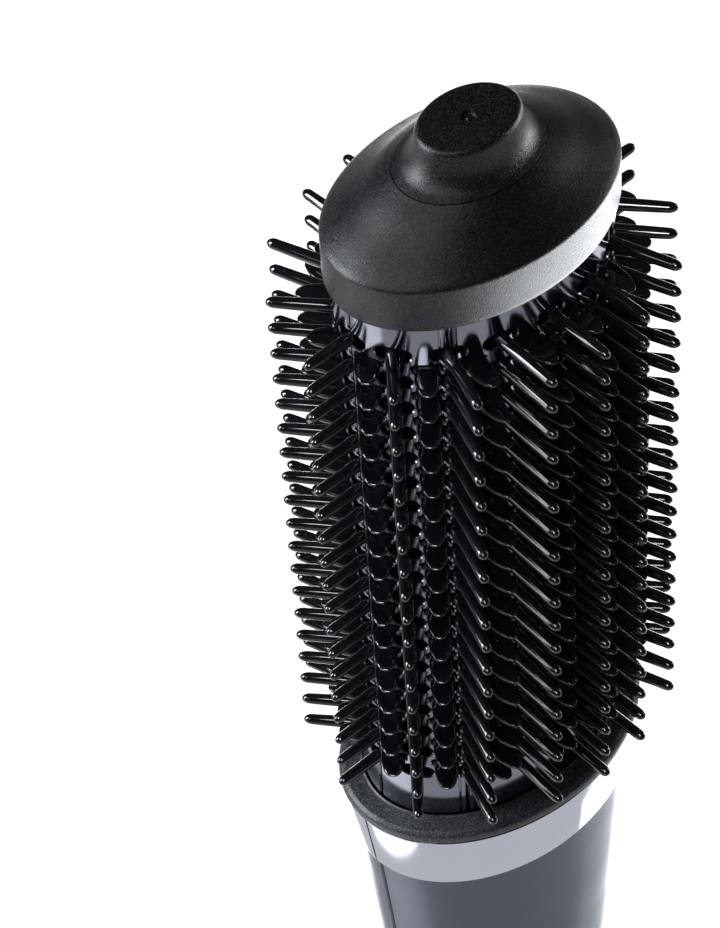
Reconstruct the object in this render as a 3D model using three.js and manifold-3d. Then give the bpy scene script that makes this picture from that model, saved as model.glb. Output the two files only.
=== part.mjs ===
// Hot air brush: an oval heated brush head on a hand-held blower body.
// Millimetres, +Z up along the brush. The origin is on the axis in the middle of the hand grip.
// X is the long axis of the oval section, Y the short one, and the buttons face -Y.
import * as THREE from "three";
import { mergeVertices } from "three/addons/utils/BufferGeometryUtils.js";
import Module from "manifold-3d";

const wasm = await Module();
wasm.setup();

// ---- driving dimensions ----
const GAP = 0.3;
const OVAL_SEGMENTS = 24;
const ROUND_SEGMENTS = 16;
const ROD_SEGMENTS = 8;

// Brush head: rows of pins every PITCH, with a row of fins half a pitch below each.
const PITCH = 6;
const PIN_ROWS = 19;
const HEAD_MID_Z = 179;
const HEAD = [26.4, 18];
const HEAD_BOTTOM_Z = 110.1;
const HEAD_TOP_Z = 239.2;
const PANEL_WALL = 1.2;
const HEAD_SEGMENTS = 48;

// One quarter of the oval, from the X axis to the Y axis: places of the pin and fin columns in
// degrees round the oval, the direction each column points in, in degrees from the X axis, and
// how far it stands off the surface.
const PIN_ANGLES = [0, 24.3, 48.1, 68.9, 90];
const PIN_DIRECTIONS = [0, 49.5, 70.5, 87.5, 90];
const PIN_LENGTHS = [9.5, 10.5, 12.7, 13.2, 13.4];
const FIN_ANGLES = [11, 39.2, 56.9, 79.6];
const FIN_DIRECTIONS = [47.5, 49.5, 87, 89.3];
const FIN_LENGTHS = [5.1, 5.9, 9.4, 10.3];
const END_FIN_LENGTHS = [5.1, 5.9, 6.5, 6.7];
const PIN_ROOT = [0.95, 0.95];
const PIN_TIP = [0.8, 0.8];
const FIN_ROOT = [1.55, 0.65];
const FIN_TIP = [1, 0.45];
const ROOT_DEPTH = 0.5;
const SPIKE_OUTLINE = [
  [-1, -1],
  [1, -1],
  [1, 1],
  [-1, 1],
];
const JOINT_ANGLE = PIN_ANGLES[2];
const PANEL_JOINTS = [
  0,
  JOINT_ANGLE,
  180 - JOINT_ANGLE,
  180,
  180 + JOINT_ANGLE,
  360 - JOINT_ANGLE,
];

// Bristle strips: an inner rail and a land that fills the window of the panel.
const RAIL_OUT = PANEL_WALL + GAP;
const RAIL_IN = 3;
const RAIL_LAP = 0.15;
const LAND_IN = 0.1;
const LAND_PIN_SIDE = 1;
const LAND_FIN_SIDE = 1.72;
const LAND_MIDDLE = 1.4;
const WINDOW_GAP = 0.2;
const STRIP_BOTTOM_Z = HEAD_MID_Z - 60;
const STRIP_TOP_Z = 235.4;
const WINDOW_BOTTOM_Z = HEAD_MID_Z - 57;
const WINDOW_TOP_Z = HEAD_MID_Z + 57;

// Inner frame of the head and the heater in the middle of it.
const FRAME_OUT = [22.9, 14.5];
const FRAME_IN = [20.9, 12.7];
const HEATER_R = 12;
const HEATER_BOTTOM_Z = 66;
const HEATER_TOP_Z = 168;
const COIL_R = 9;
const COIL_Z = [96, 156];
const COIL_TURNS = 6;
const COIL_STEPS = 9;
const COIL_WIRE_R = 0.7;
const COIL_SIDES = 4;

// End cap and its raised tip.
const CAP_BOTTOM_Z = HEAD_TOP_Z + GAP;
const CAP_RIM = [27.3, 18.9];
const CAP_RIM_TOP_Z = 248.4;
const TIP_SEAT = [13.7, 10.1];
const TIP_SEAT_Z = 256.1;
const TIP_TOP = [9.1, 6.8];
const TIP_TOP_Z = 263.4;
const CAP_DOME = [
  [26.7, 18.4, 249.1],
  [23.4, 16, 251.1],
  [18, 12.8, 253.7],
  [TIP_SEAT[0] + GAP, TIP_SEAT[1] + GAP, TIP_SEAT_Z],
];
const CAP_SOCKET_R = 4.6;
const CAP_SCREW_Y = 10.5;
const CAP_POST_R = 3.2;

// Collar, trim band and handle shell.
const COLLAR = [31.2, 22.6];
const COLLAR_TOP_Z = 113;
const COLLAR_SIDE_Z = 109.6;
const BAND_TOP = [30.6, 22.2];
const BAND_TOP_Z = 109.3;
const BAND_BOTTOM = [28.8, 20.8];
const BAND_BOTTOM_Z = 95.2;
const BAND_WALL = 1;
const SHELL_WALL = 2.2;
const NECK = [27.3, 19.3];
const NECK_TOP_Z = 107.8;
const SHELL_PROFILE = [
  [27.9, 20.1, 94.9],
  [25.6, 19.4, 70],
  [21.9, 18.5, 25],
  [20, 18.2, -25],
  [19.6, 18.2, -68],
];
const TAIL_Z = -100;
const COVER_PROFILE = [
  [15.9, 14.9, TAIL_Z],
  [17.2, 16.2, -98.8],
  [18.9, 17.7, -88],
  [19.5, 18.1, -68.3],
];

// Controls on the front face.
const BUTTON_R = 5;
const BUTTONS = [
  { name: "power_button", z: 6, face: -19.8 },
  { name: "temperature_button", z: 24, face: -19.9 },
  { name: "cool_shot_button", z: 42, face: -20.2 },
];
const LENS_Z = 56;
const LENS_R = 1.5;
const BOARD_Y = -6;

// Blower.
const FAN_R = 14.2;
const FAN_Z = [-62, -52];
const FAN_BLADES = 7;
const MOTOR_R = 11.5;
const MOTOR_Z = [-47, -16];
const SHAFT_R = 1.2;

// Fasteners that hold the two shell halves.
const SCREW_R = 1.3;
const SCREW_HEAD_R = 2.4;
const BOSS_R = 3.4;
const SHELL_SCREWS = [
  { name: "shell_screw_top_left", x: -18, z: 84 },
  { name: "shell_screw_top_right", x: 18, z: 84 },
  { name: "shell_screw_low_left", x: -14.6, z: -6 },
  { name: "shell_screw_low_right", x: 14.6, z: -6 },
];

const BLACK_PLASTIC = { color: 0x0c0c0e, roughness: 0.25, metalness: 0 };
const CAP_PLASTIC = { color: 0x17181b, roughness: 0.55, metalness: 0 };
const HEAD_COATING = { color: 0x35373f, roughness: 0.3, metalness: 0.6 };
const BAND_METAL = { color: 0xc4c3ce, roughness: 0.15, metalness: 1 };
const SHELL_PAINT = { color: 0x50545e, roughness: 0.35, metalness: 0.4 };
const HIDDEN_PLASTIC = { color: 0x2c2d30, roughness: 0.6, metalness: 0 };
const MICA = { color: 0xb59a6a, roughness: 0.6, metalness: 0 };
const STEEL = { color: 0x9a9da3, roughness: 0.35, metalness: 1 };
const BOARD_GREEN = { color: 0x1f5a38, roughness: 0.5, metalness: 0 };
const LENS_CLEAR = { color: 0xe8eef5, roughness: 0.1, metalness: 0 };

const object = new THREE.Group();

// ---- solids ----
function toSolid(geometry) {
  const bare = geometry.clone();
  bare.deleteAttribute("normal");
  bare.deleteAttribute("uv");
  const merged = mergeVertices(bare, 1e-4);
  const vertProperties = merged.attributes.position.array;
  const triVerts = new Uint32Array(merged.index.array);
  return new wasm.Manifold(new wasm.Mesh({ numProp: 3, vertProperties, triVerts }));
}

function toGeometry(solid) {
  const data = solid.getMesh();
  const geometry = new THREE.BufferGeometry();
  geometry.setAttribute("position", new THREE.BufferAttribute(data.vertProperties, 3));
  geometry.setIndex(new THREE.BufferAttribute(data.triVerts, 1));
  geometry.computeVertexNormals();
  return geometry;
}

function addPart(name, shape, look) {
  const geometry = shape.isBufferGeometry ? shape : toGeometry(shape);
  const mesh = new THREE.Mesh(geometry, new THREE.MeshStandardMaterial(look));
  mesh.name = name;
  object.add(mesh);
}

function joined(solids) {
  return solids.reduce((whole, next) => whole.add(next));
}

// A closed surface through rings that each have the same number of points. The ends are
// capped, or with isLoop the last ring joins the first.
function loft(rings, isLoop = false) {
  const count = rings[0].length;
  const positions = rings.flat(2);
  const faces = [];
  const last = isLoop ? rings.length : rings.length - 1;
  for (let i = 0; i < last; i++) {
    const low = i * count;
    const high = ((i + 1) % rings.length) * count;
    for (let j = 0; j < count; j++) {
      const next = (j + 1) % count;
      faces.push(low + j, low + next, high + next);
      faces.push(low + j, high + next, high + j);
    }
  }
  const top = (rings.length - 1) * count;
  for (let j = 1; j < count - 1 && !isLoop; j++) {
    faces.push(0, j + 1, j);
    faces.push(top, top + j, top + j + 1);
  }
  const geometry = new THREE.BufferGeometry();
  geometry.setAttribute("position", new THREE.Float32BufferAttribute(positions, 3));
  geometry.setIndex(faces);
  return toSolid(geometry);
}

function ovalRing(a, b, z, segments = OVAL_SEGMENTS) {
  const ring = [];
  for (let i = 0; i < segments; i++) {
    const t = (2 * Math.PI * i) / segments;
    ring.push([a * Math.cos(t), b * Math.sin(t), z]);
  }
  return ring;
}

// A solid or a ring from a list of [a, b, z] ovals. A bar runs from the lowest oval up; a loop
// goes up the outside and down the inside.
function ovalBar(profile, segments) {
  return loft(profile.map(([a, b, z]) => ovalRing(a, b, z, segments)));
}

function ovalLoop(profile, segments) {
  return loft(profile.map(([a, b, z]) => ovalRing(a, b, z, segments)), true);
}

function tube(outer, inner, low, high, segments = ROUND_SEGMENTS) {
  const profile = [
    [outer, outer, low],
    [outer, outer, high],
    [inner, inner, high],
    [inner, inner, low],
  ];
  return ovalLoop(profile, segments);
}

function rod(radius, low, high, x = 0, y = 0, segments = ROD_SEGMENTS) {
  const profile = [
    [radius, radius, low],
    [radius, radius, high],
  ];
  return ovalBar(profile, segments).translate(x, y, 0);
}

// A rod along Y from y = low to y = high.
function crossRod(radius, low, high, x, z, segments = ROD_SEGMENTS) {
  return rod(radius, -high, -low, 0, 0, segments).rotate(90, 0, 0).translate(x, 0, z);
}

function block(x, y, z) {
  const size = [x, y, z].map(([low, high]) => high - low);
  const middle = [x, y, z].map(([low, high]) => (low + high) / 2);
  return toSolid(new THREE.BoxGeometry(...size)).translate(...middle);
}

// ---- the oval of the head ----
const radians = (degrees) => (degrees * Math.PI) / 180;

function onOval(degrees, depth = 0) {
  const t = radians(degrees);
  return [(HEAD[0] - depth) * Math.cos(t), (HEAD[1] - depth) * Math.sin(t)];
}

function outward(degrees) {
  const t = radians(degrees);
  const normal = new THREE.Vector3(Math.cos(t) / HEAD[0], Math.sin(t) / HEAD[1], 0);
  return normal.normalize();
}

// How many degrees round the oval a distance along its surface takes, near an angle.
function degreesFor(distance, degrees) {
  const t = radians(degrees);
  const speed = Math.hypot(HEAD[0] * Math.sin(t), HEAD[1] * Math.cos(t));
  return ((distance / speed) * 180) / Math.PI;
}

function arc(from, to, depth) {
  const step = 360 / HEAD_SEGMENTS;
  const points = [onOval(from, depth)];
  for (let i = Math.floor(from / step) + 1; i * step < to - 0.5; i++) {
    if (i * step > from + 0.5) points.push(onOval(i * step, depth));
  }
  points.push(onOval(to, depth));
  return points;
}

function extruded(outline, low, high) {
  const shape = new THREE.Shape(outline.map(([x, y]) => new THREE.Vector2(x, y)));
  const options = { depth: high - low, bevelEnabled: false };
  return toSolid(new THREE.ExtrudeGeometry(shape, options)).translate(0, 0, low);
}

function sector(from, to, outDepth, inDepth, low, high) {
  const outline = [...arc(from, to, outDepth), ...arc(from, to, inDepth).reverse()];
  return extruded(outline, low, high);
}

// ---- bristle columns all round, from the -X end through the front face ----
function allRound(angles, directions, lengths) {
  const turns = [
    (angle) => 180 + angle,
    (angle) => 360 - angle,
    (angle) => 360 + angle,
    (angle) => 540 - angle,
  ];
  const columns = turns.flatMap((turned) =>
    angles.map((angle, i) => ({
      angle: turned(angle),
      direction: turned(directions[i]),
      length: lengths[i],
    })),
  );
  columns.sort((one, two) => one.angle - two.angle);
  return columns.filter(({ angle }, i) => i === 0 || angle - columns[i - 1].angle > 1);
}

const pinColumns = allRound(PIN_ANGLES, PIN_DIRECTIONS, PIN_LENGTHS).slice(0, 16);
const finColumns = allRound(FIN_ANGLES, FIN_DIRECTIONS, FIN_LENGTHS);
const endFinColumns = allRound(FIN_ANGLES, FIN_DIRECTIONS, END_FIN_LENGTHS);

// A tapered four-sided spike that stands out from the surface, or leans along it. The sizes of
// its root and tip are half widths, [across the brush, along Z].
function spike({ angle, direction, length }, z, root, tip) {
  const normal = outward(angle);
  const lean = radians(direction);
  const out = new THREE.Vector3(Math.cos(lean), Math.sin(lean), 0);
  const foot = new THREE.Vector3(...onOval(angle, ROOT_DEPTH), z);
  const end = new THREE.Vector3(...onOval(angle), z).addScaledVector(out, length);
  const ends = [
    [foot, new THREE.Vector3(-normal.y, normal.x, 0), root],
    [end, new THREE.Vector3(-out.y, out.x, 0), tip],
  ];
  const rings = ends.map(([centre, along, half]) =>
    SPIKE_OUTLINE.map(([u, v]) => {
      const corner = centre.clone().addScaledVector(along, u * half[0]);
      corner.z += v * half[1];
      return corner.toArray();
    }),
  );
  return loft(rings);
}

function pins(column) {
  const made = [];
  for (let row = 0; row < PIN_ROWS; row++) {
    const z = HEAD_MID_Z + PITCH * ((PIN_ROWS - 1) / 2 - row);
    made.push(spike(column, z, PIN_ROOT, PIN_TIP));
  }
  return made;
}

function fins(column, endColumn) {
  const made = [];
  const rows = PIN_ROWS - 1;
  for (let row = 0; row < rows; row++) {
    const z = HEAD_MID_Z + PITCH * ((rows - 1) / 2 - row);
    const isEnd = row === 0 || row === rows - 1;
    made.push(spike(isEnd ? endColumn : column, z, FIN_ROOT, FIN_TIP));
  }
  return made;
}

// Where a strip's land starts and ends round the oval.
function landSpan(i) {
  const pin = pinColumns[i].angle;
  const fin = finColumns[i].angle;
  return [pin - degreesFor(LAND_PIN_SIDE, pin), fin + degreesFor(LAND_FIN_SIDE, fin)];
}

// A strip's section has two facets: the pins stand on one and the fins on the other.
function stripSection(i) {
  const [from, to] = landSpan(i);
  const lap = degreesFor(RAIL_LAP, (from + to) / 2);
  const middle = pinColumns[i].angle + degreesFor(LAND_MIDDLE, pinColumns[i].angle);
  const land = [from, middle, to];
  const railOut = [to, to + lap];
  const rail = [to + lap, middle, from - lap];
  return [
    ...land.map((angle) => onOval(angle, LAND_IN)),
    ...railOut.map((angle) => onOval(angle, RAIL_OUT)),
    ...rail.map((angle) => onOval(angle, RAIL_IN)),
    ...[from - lap, from].map((angle) => onOval(angle, RAIL_OUT)),
  ];
}

function bristleStrip(i) {
  const bar = extruded(stripSection(i), STRIP_BOTTOM_Z, STRIP_TOP_Z);
  const [from, to] = landSpan(i);
  const clear = [-8, 8].map((margin, side) => [from, to][side] + margin);
  const ends = [
    sector(...clear, -1, RAIL_OUT, STRIP_BOTTOM_Z - 1, WINDOW_BOTTOM_Z + GAP),
    sector(...clear, -1, RAIL_OUT, WINDOW_TOP_Z - GAP, STRIP_TOP_Z + 1),
  ];
  const trimmed = bar.subtract(joined(ends));
  const bristles = [...pins(pinColumns[i]), ...fins(finColumns[i], endFinColumns[i])];
  return joined([trimmed, ...bristles]);
}

// ---- head panels: a thin coated skin with one window for each strip ----
function headPanel(from, to) {
  const edge = degreesFor(GAP / 2, from);
  const depth = PANEL_WALL;
  const skin = sector(from + edge, to - edge, 0, depth, HEAD_BOTTOM_Z, HEAD_TOP_Z);
  const windows = [];
  for (let i = 0; i < pinColumns.length; i++) {
    const [start, end] = landSpan(i);
    for (const turn of [0, -360]) {
      const low = start + turn - degreesFor(WINDOW_GAP, start);
      const high = end + turn + degreesFor(WINDOW_GAP, end);
      const isNear = high > from && low < to;
      if (isNear) windows.push(sector(low, high, -2, depth + 1, WINDOW_BOTTOM_Z, WINDOW_TOP_Z));
    }
  }
  return skin.subtract(joined(windows));
}

// ---- inner frame of the head ----
function headFrame() {
  const ringAt = (low, high) =>
    ovalLoop([
      [...FRAME_OUT, low],
      [...FRAME_OUT, high],
      [...FRAME_IN, high],
      [...FRAME_IN, low],
    ]);
  const posts = [-1, 1].map((side) =>
    block([side * 19.8 - 2.2, side * 19.8 + 2.2], [-3.5, 3.5], [104, 236]),
  );
  const ears = [-1, 1].map((side) => rod(CAP_POST_R, 230, 236, 0, side * CAP_SCREW_Y));
  const holes = [-1, 1].map((side) => rod(SCREW_R + GAP, 220, 240, 0, side * CAP_SCREW_Y));
  const body = joined([ringAt(103, 111), ringAt(230, 236), ...posts, ...ears]);
  return body.subtract(joined(holes));
}

// ---- end cap ----
function endCap() {
  const seat = [TIP_SEAT[0] + GAP, TIP_SEAT[1] + GAP];
  const outside = [
    [24.7, 16.3, 236.4],
    [24.7, 16.3, CAP_BOTTOM_Z],
    [CAP_RIM[0] - 0.3, CAP_RIM[1] - 0.3, CAP_BOTTOM_Z],
    [...CAP_RIM, CAP_BOTTOM_Z + 0.7],
    [...CAP_RIM, CAP_RIM_TOP_Z],
    ...CAP_DOME,
    [...seat, 253.2],
    [CAP_SOCKET_R + GAP, CAP_SOCKET_R + GAP, 253.2],
    [CAP_SOCKET_R + GAP, CAP_SOCKET_R + GAP, 251],
    [14, 9.4, 251],
    [22.7, 14.3, 246],
    [22.7, 14.3, 236.4],
  ];
  const posts = [-1, 1].map((side) => rod(CAP_POST_R, 236.4, 249.4, 0, side * CAP_SCREW_Y));
  const holes = [-1, 1].map((side) => rod(SCREW_R + GAP, 235, 246, 0, side * CAP_SCREW_Y));
  return ovalLoop(outside).add(joined(posts)).subtract(joined(holes));
}

function capTip() {
  const outside = [
    [CAP_SOCKET_R, CAP_SOCKET_R, 250.4],
    [CAP_SOCKET_R, CAP_SOCKET_R, 253.5],
    [TIP_SEAT[0] - 0.3, TIP_SEAT[1] - 0.3, 253.5],
    [...TIP_SEAT, 256.3],
    [11.5, 8.5, 258],
    [10.1, 7.5, 261],
    [...TIP_TOP, 262.9],
    [8.4, 6.2, TIP_TOP_Z],
  ];
  const dimple = rod(1.1, TIP_TOP_Z - 0.5, TIP_TOP_Z + 1);
  const pilot = rod(SCREW_R + GAP, 249, 258);
  return ovalBar(outside).subtract(dimple).subtract(pilot);
}

// A round-headed screw along Z, with its head at the bottom.
function upScrew(y, headZ, tipZ) {
  const head = rod(SCREW_HEAD_R, headZ - 1.6, headZ, 0, y);
  return head.add(rod(SCREW_R, headZ - 0.1, tipZ, 0, y));
}

// ---- collar and trim band ----
function collar() {
  return ovalLoop([
    [25, 17, 101],
    [25, 17, 108.2],
    [28.3, 20.1, 108.2],
    [28.3, 20.1, COLLAR_SIDE_Z],
    [COLLAR[0] - 0.2, COLLAR[1] - 0.2, COLLAR_SIDE_Z],
    [...COLLAR, COLLAR_TOP_Z - 0.7],
    [COLLAR[0] - 0.6, COLLAR[1] - 0.6, COLLAR_TOP_Z],
    [HEAD[0] + GAP, HEAD[1] + GAP, COLLAR_TOP_Z],
    [HEAD[0] + GAP, HEAD[1] + GAP, 109.8],
    [23.4, 15, 109.8],
    [23.4, 15, 101],
  ]);
}

function trimBand() {
  const ring = ovalLoop([
    [...BAND_BOTTOM, BAND_BOTTOM_Z],
    [...BAND_TOP, BAND_TOP_Z],
    [BAND_TOP[0] - BAND_WALL, BAND_TOP[1] - BAND_WALL, BAND_TOP_Z],
    [BAND_BOTTOM[0] - BAND_WALL, BAND_BOTTOM[1] - BAND_WALL, BAND_BOTTOM_Z],
  ]);
  const slit = block([-40, -20], [-0.12, 0.12], [90, 115]);
  return ring.subtract(slit);
}

// ---- handle shell ----
function shellSolid(inset) {
  const taper = SHELL_PROFILE.map(([a, b, z]) => [a - inset, b - inset, z]).reverse();
  return ovalBar([
    ...taper,
    [NECK[0] - inset, NECK[1] - inset, 94.9 + 0.1],
    [NECK[0] - inset, NECK[1] - inset, NECK_TOP_Z],
  ]);
}

function openShell() {
  const inside = shellSolid(SHELL_WALL);
  const ends = [
    ovalBar([
      [17.4, 16, -69],
      [17.4, 16, -67],
    ]),
    ovalBar([
      [25.1, 17.1, 107],
      [25.1, 17.1, 109],
    ]),
  ];
  return shellSolid(0).subtract(inside.add(joined(ends)));
}

function screwBosses(fromY, toY) {
  const rods = SHELL_SCREWS.map(({ x, z }) => crossRod(BOSS_R, fromY, toY, x, z));
  return joined(rods).intersect(shellSolid(SHELL_WALL / 2));
}

function shellHalf(side) {
  const keep = side < 0 ? [-40, -GAP / 2] : [GAP / 2, 40];
  const half = block([-40, 40], keep, [-80, 120]);
  const bosses = screwBosses(side < 0 ? -20 : GAP / 2, side < 0 ? -GAP / 2 : 20);
  return openShell().intersect(half).add(bosses);
}

function frontShell() {
  const holes = [
    ...BUTTONS.map(({ z }) => crossRod(BUTTON_R + GAP, -30, -10, 0, z, 16)),
    crossRod(LENS_R + GAP, -30, -10, 0, LENS_Z),
    ...SHELL_SCREWS.map(({ x, z }) => crossRod(SCREW_R + GAP, -9, 5, x, z)),
  ];
  return shellHalf(-1).subtract(joined(holes));
}

function rearShell() {
  const holes = SHELL_SCREWS.flatMap(({ x, z }) => [
    crossRod(SCREW_R + GAP, -5, 20, x, z),
    crossRod(SCREW_HEAD_R + GAP, screwSeat(x) - GAP, 30, x, z),
  ]);
  return shellHalf(1).subtract(joined(holes));
}

// Depth of the seat under a shell screw's head.
function screwSeat(x) {
  return Math.abs(x) > 16 ? 9 : 7.5;
}

function shellScrew({ x, z }) {
  const seat = screwSeat(x);
  const head = crossRod(SCREW_HEAD_R, seat, seat + 1.6, x, z);
  return head.add(crossRod(SCREW_R, -8, seat + 0.1, x, z));
}

// ---- controls ----
function button({ z, face }) {
  const cap = crossRod(BUTTON_R, face, -14.5, 0, z, 16);
  const flange = crossRod(BUTTON_R + 1.3, -14.6, -13.6, 0, z, 12);
  const stem = crossRod(1.6, -13.7, -11.9, 0, z);
  return joined([cap, flange, stem]);
}

function tactSwitch(z) {
  const body = block([-3, 3], [-9.4, BOARD_Y - 1.9], [z - 3, z + 3]);
  return body.add(crossRod(1.7, -10.4, -9.3, 0, z));
}

function circuitBoard() {
  const board = block([-9.6, 9.6], [BOARD_Y - 1.6, BOARD_Y], [-3, 60]);
  const notches = [-1, 1].map((side) =>
    block([side * 9.6 - 1, side * 9.6 + 1], [BOARD_Y - 3, BOARD_Y + 1], [48, 52]),
  );
  return board.subtract(joined(notches));
}

function statusLens() {
  const pipe = crossRod(LENS_R, -19.15, -12, 0, LENS_Z);
  return pipe.add(crossRod(2.4, -13, -12, 0, LENS_Z));
}

// ---- heater ----
function heaterTube() {
  return tube(HEATER_R, HEATER_R - 0.6, HEATER_BOTTOM_Z, HEATER_TOP_Z);
}

function heaterBoards() {
  const reach = HEATER_R - 0.6 - GAP;
  const low = HEATER_BOTTOM_Z + 2;
  const high = HEATER_TOP_Z - 2;
  const one = block([-reach, reach], [-0.5, 0.5], [low, high]);
  const two = block([-0.5, 0.5], [-reach, reach], [low, high]);
  const groove = tube(COIL_R + 1.3, COIL_R - 1.8, COIL_Z[0] - 1.2, COIL_Z[1] + 1.2);
  return one.add(two).subtract(groove);
}

function heaterCoil() {
  const rings = [];
  const steps = COIL_TURNS * COIL_STEPS;
  for (let i = 0; i <= steps; i++) {
    const t = (2 * Math.PI * i) / COIL_STEPS;
    const middle = COIL_Z[0] + ((COIL_Z[1] - COIL_Z[0]) * i) / steps;
    const ring = [];
    for (let j = 0; j < COIL_SIDES; j++) {
      const turn = (2 * Math.PI * j) / COIL_SIDES;
      const radius = COIL_R + COIL_WIRE_R * Math.cos(turn);
      const z = middle + COIL_WIRE_R * Math.sin(turn);
      ring.push([radius * Math.cos(t), radius * Math.sin(t), z]);
    }
    rings.push(ring.reverse());
  }
  return loft(rings);
}

function thermalCutout() {
  const body = rod(3, 58, 63, 0, 0);
  return body.add(block([-4.2, 4.2], [-0.6, 0.6], [56, 58.2]));
}

// A ring that centres the foot of the heater in the handle and steers the air into it.
function ductRing() {
  return ovalLoop([
    [HEATER_R + GAP, HEATER_R + GAP, 70],
    [22.3, 16.3, 70],
    [22.5, 16.4, 76],
    [20.7, 15, 76],
    [HEATER_R + 2, HEATER_R + 1.8, 72],
    [HEATER_R + GAP, HEATER_R + GAP, 72],
  ]);
}

// ---- blower ----
function fanWheel() {
  const low = FAN_Z[0];
  const high = FAN_Z[1];
  const blade = block([4, FAN_R], [-0.6, 0.6], [low + 1.4, high - 1.4]);
  const blades = [];
  for (let i = 0; i < FAN_BLADES; i++) {
    const pitched = blade.translate(0, 0, -(low + high) / 2).rotate(38, 0, 0);
    blades.push(pitched.rotate(0, 0, (360 * i) / FAN_BLADES).translate(0, 0, (low + high) / 2));
  }
  const hub = rod(5.6, low, high, 0, 0, 14);
  return joined([hub, ...blades]).subtract(rod(SHAFT_R + GAP / 2, low - 1, high + 1));
}

function motorCan() {
  const [low, high] = MOTOR_Z;
  return ovalLoop(
    [
      [SHAFT_R + 2 * GAP, low],
      [MOTOR_R, low],
      [MOTOR_R, high],
      [MOTOR_R - 1, high],
      [MOTOR_R - 1, low + 1.2],
      [SHAFT_R + 2 * GAP, low + 1.2],
    ].map(([r, z]) => [r, r, z]),
    ROUND_SEGMENTS,
  );
}

function motorPlate() {
  const high = MOTOR_Z[1];
  return tube(MOTOR_R - 1 - GAP, SHAFT_R + 2 * GAP, high - 2.6, high);
}

function motorRotor() {
  return tube(MOTOR_R - 3.2, SHAFT_R + GAP / 2, MOTOR_Z[0] + 6, MOTOR_Z[1] - 7);
}

function motorShaft() {
  return rod(SHAFT_R, FAN_Z[0] + 1, MOTOR_Z[1] + 3);
}

function motorMount() {
  const sleeve = tube(MOTOR_R + GAP + 1.2, MOTOR_R + GAP, -40, -28);
  const outer = ovalLoop(
    [
      [17.1, 15.6, -37],
      [17.1, 15.6, -31],
      [15.6, 14.1, -31],
      [15.6, 14.1, -37],
    ],
    ROUND_SEGMENTS,
  );
  const ribs = [45, 135, 225, 315].map((turn) =>
    block([12.4, 15.4], [-0.9, 0.9], [-37, -31]).rotate(0, 0, turn),
  );
  return joined([sleeve, outer, ...ribs]);
}

// ---- tail ----
function tailFrame() {
  const plate = ovalBar(
    [
      [17, 15.6, -70.5],
      [17, 15.6, -66],
    ],
    ROUND_SEGMENTS,
  );
  const stalk = rod(9.6, -93, -66, 0, 0, 16);
  const vents = [45, 135, 225, 315].map((turn) =>
    block([10.8, 14.2], [-3.6, 3.6], [-72, -64]).rotate(0, 0, turn),
  );
  const bore = rod(7.4, -89.9, -60, 0, 0, 16);
  const mouth = rod(6.6, -95, -85, 0, 0, 16);
  return plate.add(stalk).subtract(joined([...vents, bore, mouth]));
}

function filterCover() {
  const inside = [
    [17.7, 16.3, -68.3],
    [17.1, 15.9, -88],
    [15.4, 14.4, -97.6],
    [7, 7, -97.6],
    [7, 7, TAIL_Z],
  ];
  const shell = ovalLoop([...COVER_PROFILE, ...inside]);
  const slots = [];
  for (let turn = 15; turn < 180; turn += 30) {
    slots.push(block([-30, 30], [-1.6, 1.6], [-92, -74]).rotate(0, 0, turn));
  }
  return shell.subtract(joined(slots));
}

function inletScreen() {
  return tube(14.3, 13.6, -91, -71);
}

function cordGland() {
  return ovalLoop(
    [
      [3.4, -99.7],
      [6.2, -99.7],
      [6.2, -89.6],
      [7, -89.6],
      [7, -87.6],
      [5.4, -87.6],
      [5.4, -80],
      [3.4, -80],
    ].map(([r, z]) => [r, r, z]),
    16,
  );
}

function glandClip() {
  const ring = tube(7, 5.4 + GAP, -87.3, -86.3, 16);
  return ring.subtract(block([0, 10], [-1.5, 1.5], [-90, -80]));
}

// ---- the assembly ----
for (let i = 0; i < PANEL_JOINTS.length; i++) {
  const names = ["right_rear", "rear", "left_rear", "left_front", "front", "right_front"];
  const from = PANEL_JOINTS[i];
  const to = i + 1 < PANEL_JOINTS.length ? PANEL_JOINTS[i + 1] : 360;
  addPart("head_panel_" + names[i], headPanel(from, to), HEAD_COATING);
}

for (let i = 0; i < pinColumns.length; i++) {
  addPart("bristle_strip_" + String(i + 1).padStart(2, "0"), bristleStrip(i), BLACK_PLASTIC);
}

addPart("head_frame", headFrame(), HIDDEN_PLASTIC);
addPart("end_cap", endCap(), CAP_PLASTIC);
addPart("cap_tip", capTip(), CAP_PLASTIC);
addPart("tip_screw", upScrew(0, 250.1, 256.5), STEEL);
addPart("cap_screw_front", upScrew(-CAP_SCREW_Y, 229.7, 244), STEEL);
addPart("cap_screw_rear", upScrew(CAP_SCREW_Y, 229.7, 244), STEEL);
addPart("collar", collar(), CAP_PLASTIC);
addPart("trim_band", trimBand(), BAND_METAL);
addPart("shell_front", frontShell(), SHELL_PAINT);
addPart("shell_rear", rearShell(), SHELL_PAINT);
SHELL_SCREWS.forEach((screw) => addPart(screw.name, shellScrew(screw), STEEL));

addPart("heater_tube", heaterTube(), MICA);
addPart("heater_boards", heaterBoards(), MICA);
addPart("heater_coil", heaterCoil(), STEEL);
addPart("thermal_cutout", thermalCutout(), STEEL);
addPart("duct_ring", ductRing(), HIDDEN_PLASTIC);

BUTTONS.forEach((spec) => addPart(spec.name, button(spec), BLACK_PLASTIC));
BUTTONS.forEach(({ name, z }) =>
  addPart(name.replace("button", "switch"), tactSwitch(z), HIDDEN_PLASTIC),
);
addPart("status_lens", statusLens(), LENS_CLEAR);
addPart("circuit_board", circuitBoard(), BOARD_GREEN);

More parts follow.
